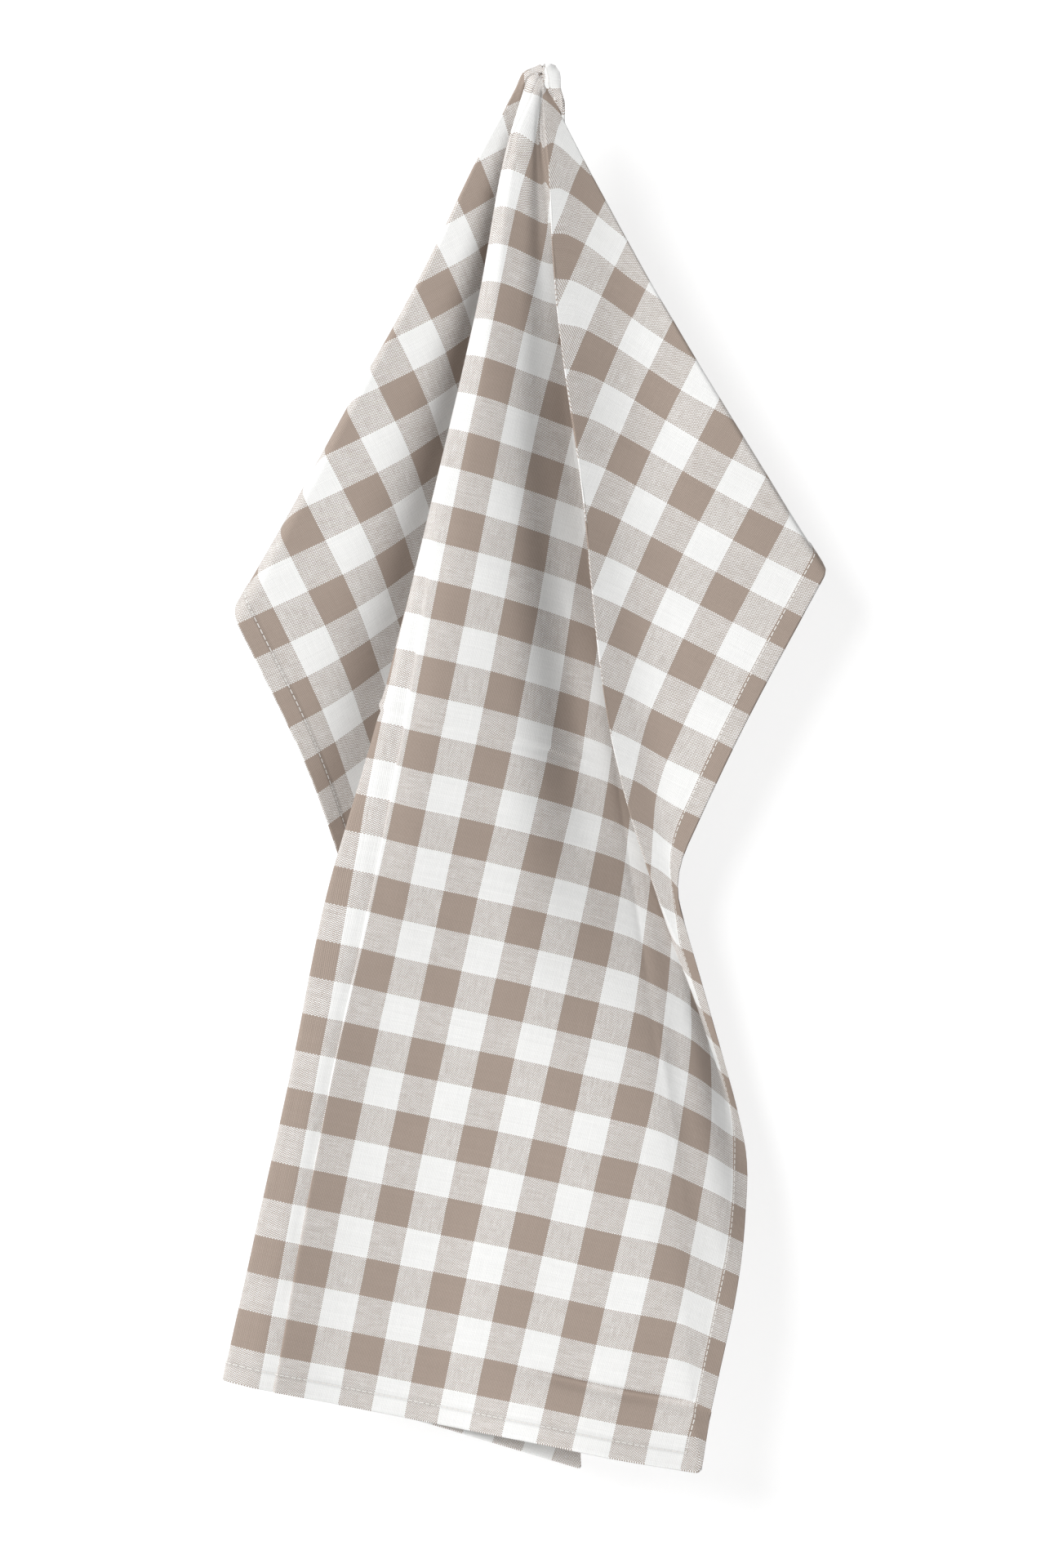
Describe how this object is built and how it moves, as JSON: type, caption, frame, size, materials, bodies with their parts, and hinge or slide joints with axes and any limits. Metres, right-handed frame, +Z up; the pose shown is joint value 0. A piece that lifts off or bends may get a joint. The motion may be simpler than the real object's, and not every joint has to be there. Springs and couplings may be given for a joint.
{
  "type": "tea towel",
  "caption": "Checked cotton tea towel hung from a pinch below the middle of its top hem, its sides swept into pointed wings and its foot falling in a broad slanting panel",
  "frame": {"origin": "the top of the knot of cloth that the towel hangs by", "axes": "+Z is up, the front of the towel looks along -Y, and +X is its right as seen from the front"},
  "size_m": [0.3004, 0.0647, 0.7122],
  "materials": {
    "checked_cotton": "matt woven cotton"
  },
  "bodies": {
    "root": {"towel_cloth": "checked_cotton"}
  },
  "joints": []
}
